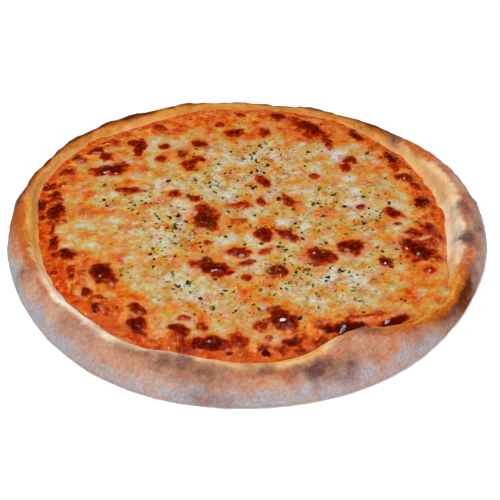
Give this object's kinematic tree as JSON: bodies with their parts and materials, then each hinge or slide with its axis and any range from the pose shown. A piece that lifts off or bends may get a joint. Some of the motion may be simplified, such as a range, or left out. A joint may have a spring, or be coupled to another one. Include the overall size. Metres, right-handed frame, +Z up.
{
  "type": "margherita pizza",
  "caption": "Round baked pizza with an uneven puffed rim, tomato sauce, melted cheese with browned blisters, and dried herb flakes.",
  "frame": {"origin": "middle of the pizza's outline, on the surface it lies on", "axes": "+Z up from the flat underside, -Y towards the side with the tall puffed rim, +X to its right"},
  "size_m": [0.3217, 0.3169, 0.0199],
  "materials": {
    "baked_dough": "dry floury baked dough, browned and scorched in places",
    "sauce": "oily baked tomato sauce, glossy",
    "melted_cheese": "melted mozzarella, moist, with browned blisters and green herb flakes"
  },
  "bodies": {
    "root": {"crust": "baked_dough", "tomato_sauce": "sauce", "mozzarella": "melted_cheese"}
  },
  "joints": []
}
